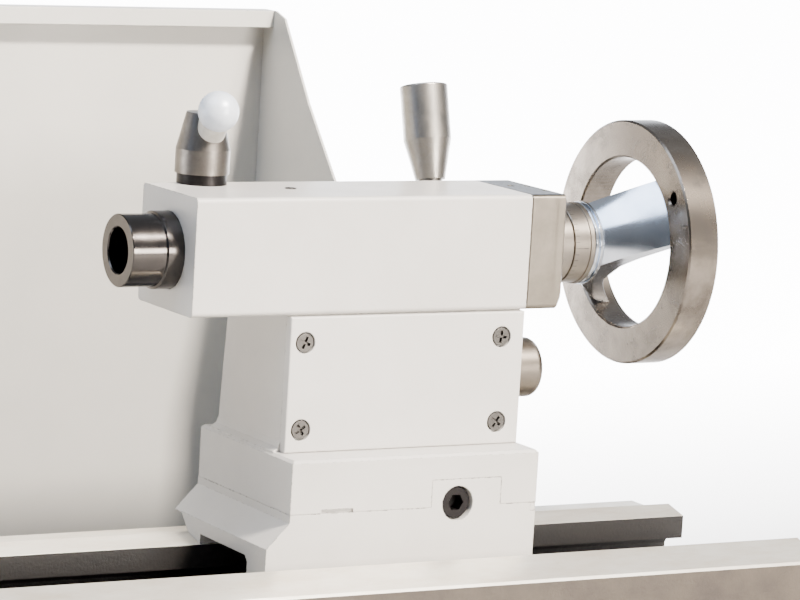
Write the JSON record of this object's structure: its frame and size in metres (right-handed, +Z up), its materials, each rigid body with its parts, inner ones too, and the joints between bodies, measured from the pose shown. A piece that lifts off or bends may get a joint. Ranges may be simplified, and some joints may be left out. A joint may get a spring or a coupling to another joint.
{
  "type": "metal lathe tailstock end",
  "caption": "Tailstock on the end of a lathe bed: quill with handwheel feed and lock lever, cam clamp lever, set-over base, chip tray and splash guard.",
  "frame": {"origin": "on the chip tray's underside, on the lathe's centre line, below the nose face of the quill housing", "axes": "+X along the bed towards the handwheel, +Y away from the operator, +Z up"},
  "size_m": [0.685, 0.421, 0.4285],
  "materials": {
    "machine_paint": "light warm grey machine enamel, satin",
    "guard_paint": "light cream-grey enamel on sheet steel",
    "tray_paint": "grey enamel on sheet steel",
    "bed_iron": "painted dark casting with ground ways",
    "bare_iron": "machined grey iron",
    "ground_plate": "ground steel",
    "ground_quill": "hardened and ground dark steel",
    "turned_wheel": "turned and polished steel",
    "satin_dial": "satin nickel with engraved graduations",
    "black_steel": "black oxide",
    "bronze": "bearing bronze",
    "ball_alloy": "satin light alloy",
    "lever_nickel": "dark satin nickel",
    "satin_lever": "satin steel",
    "zinc_screw": "bright zinc plate",
    "plain_steel": "machined steel"
  },
  "bodies": {
    "bed": {"bed_casting": "bed_iron", "chip_tray": "tray_paint", "tray_screws": "black_steel", "splash_guard_back": "guard_paint", "splash_guard_end": "guard_paint", "guard_screws": "zinc_screw", "feed_rack": "plain_steel", "rack_screws": "black_steel"},
    "base": {"base_casting": "machine_paint"},
    "set_over_feed": {"set_over_screw": "black_steel", "set_over_ring": "plain_steel"},
    "body": {"body_casting": "machine_paint", "cover_plate": "machine_paint", "cover_screws": "zinc_screw", "set_over_nut": "plain_steel", "cam_bush_left": "bronze", "cam_bush_right": "bronze", "end_plate": "ground_plate", "end_plate_screws": "black_steel", "end_plate_top_screws": "zinc_screw", "index_ring": "satin_dial", "oiler": "zinc_screw", "guide_key": "plain_steel", "lock_cotter_upper": "plain_steel", "lock_cotter_lower": "plain_steel", "lock_collar": "black_steel", "thrust_washer_inner": "bronze", "thrust_washer_outer": "bronze"},
    "quill": {"quill": "ground_quill", "quill_nut": "bronze", "quill_nut_screws": "plain_steel"},
    "wheel": {"feed_screw": "plain_steel", "handwheel": "turned_wheel", "wheel_key": "plain_steel", "wheel_washer": "plain_steel", "wheel_nut": "plain_steel"},
    "dial": {"dial": "satin_dial", "dial_spring": "plain_steel"},
    "quill_lock": {"lock_hub": "lever_nickel", "lock_rod": "lever_nickel", "lock_ball": "ball_alloy", "lock_stud": "plain_steel"},
    "cam_lever": {"cam_shaft": "plain_steel", "cam_hub": "satin_lever", "hub_pin": "plain_steel", "lever_arm": "satin_lever", "lever_grip": "satin_lever"},
    "clamp": {"eye_bolt": "plain_steel", "clamp_plate": "bare_iron", "clamp_washer": "black_steel", "clamp_nut": "black_steel"}
  },
  "joints": [
    {"name": "tailstock_slide", "type": "slide", "parent": "bed", "child": "base", "axis": [1, 0, 0], "range_m": [-0.2, 0.1]},
    {"name": "set_over", "type": "slide", "parent": "base", "child": "body", "axis": [0, 1, 0], "range_m": [-0.006, 0.006]},
    {"name": "set_over_screw_turn", "type": "hinge", "parent": "base", "child": "set_over_feed", "pos_m": [0.15, -0.03, 0.1958], "axis": [0, 1, 0], "range_deg": [-1440.5, 1440.5]},
    {"name": "handwheel_turn", "type": "hinge", "parent": "body", "child": "wheel", "pos_m": [0.28, 0, 0.324], "axis": [-1, 0, 0], "range_deg": [-1800, 6750]},
    {"name": "quill_slide", "type": "slide", "parent": "body", "child": "quill", "axis": [-1, 0, 0], "range_m": [-0.02001, 0.07501]},
    {"name": "dial_turn", "type": "hinge", "parent": "wheel", "child": "dial", "pos_m": [0.24, 0, 0.324], "axis": [1, 0, 0], "continuous": true},
    {"name": "quill_lock_turn", "type": "hinge", "parent": "body", "child": "quill_lock", "pos_m": [0.03, 0.025, 0.36], "axis": [0, 0, 1], "range_deg": [-60, 75]},
    {"name": "cam_lever_turn", "type": "hinge", "parent": "body", "child": "cam_lever", "pos_m": [0.2, 0, 0.2569], "axis": [1, 0, 0], "range_deg": [-40, 0]},
    {"name": "clamp_lift", "type": "slide", "parent": "body", "child": "clamp", "axis": [0, 0, 1], "range_m": [-0.00138, 0]}
  ],
  "couplings": [
    {"joint": "set_over_screw_turn", "follows": "set_over", "rad_per_m": 4188.8},
    {"joint": "quill_slide", "follows": "handwheel_turn", "m_per_rad": 0.00063662},
    {"joint": "clamp_lift", "follows": "cam_lever_turn", "m_per_rad": 0.00196}
  ]
}
